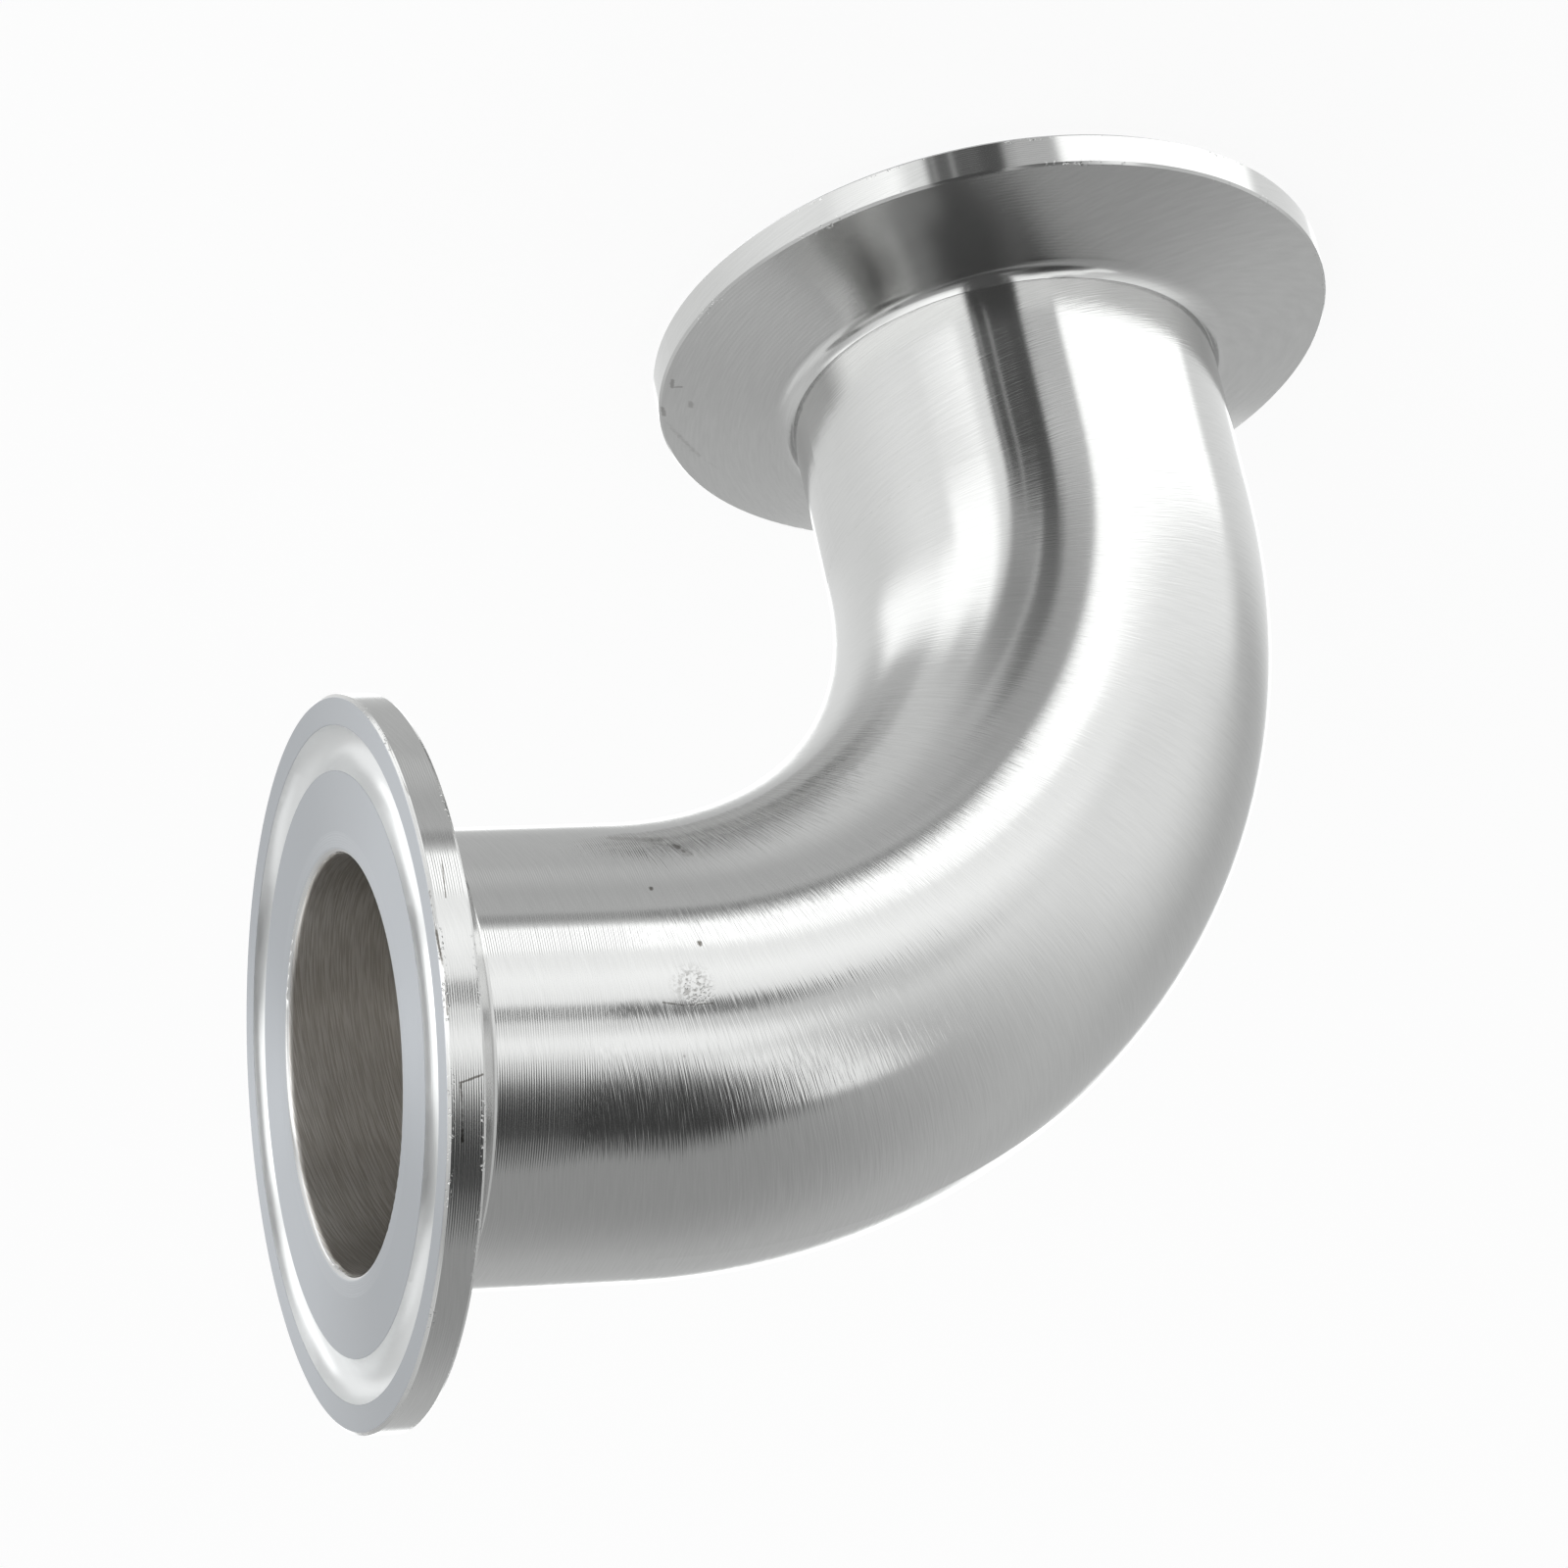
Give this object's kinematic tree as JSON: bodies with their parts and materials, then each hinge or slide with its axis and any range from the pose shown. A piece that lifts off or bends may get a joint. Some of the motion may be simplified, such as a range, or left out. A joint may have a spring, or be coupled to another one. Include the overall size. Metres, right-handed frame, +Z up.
{
  "type": "sanitary clamp elbow",
  "caption": "Right-angle stainless tube elbow with a clamp ferrule at each end, for joining two hygienic pipe runs at a corner.",
  "frame": {"origin": "centre of the base ferrule's sealing face, which the elbow stands on", "axes": "+Z up along the base leg's bore into the elbow, +X along the outlet leg's bore and out of its sealing face; the XZ plane is the plane of symmetry"},
  "size_m": [0.0849, 0.0504, 0.0848],
  "materials": {
    "brushed_tube": "belt-brushed round the tube after bending and welding",
    "turned_ferrule": "fine lathe-turned, with a smooth matt sealing face"
  },
  "bodies": {
    "root": {"elbow_tube": "brushed_tube", "base_ferrule": "turned_ferrule", "outlet_ferrule": "turned_ferrule"}
  },
  "joints": []
}
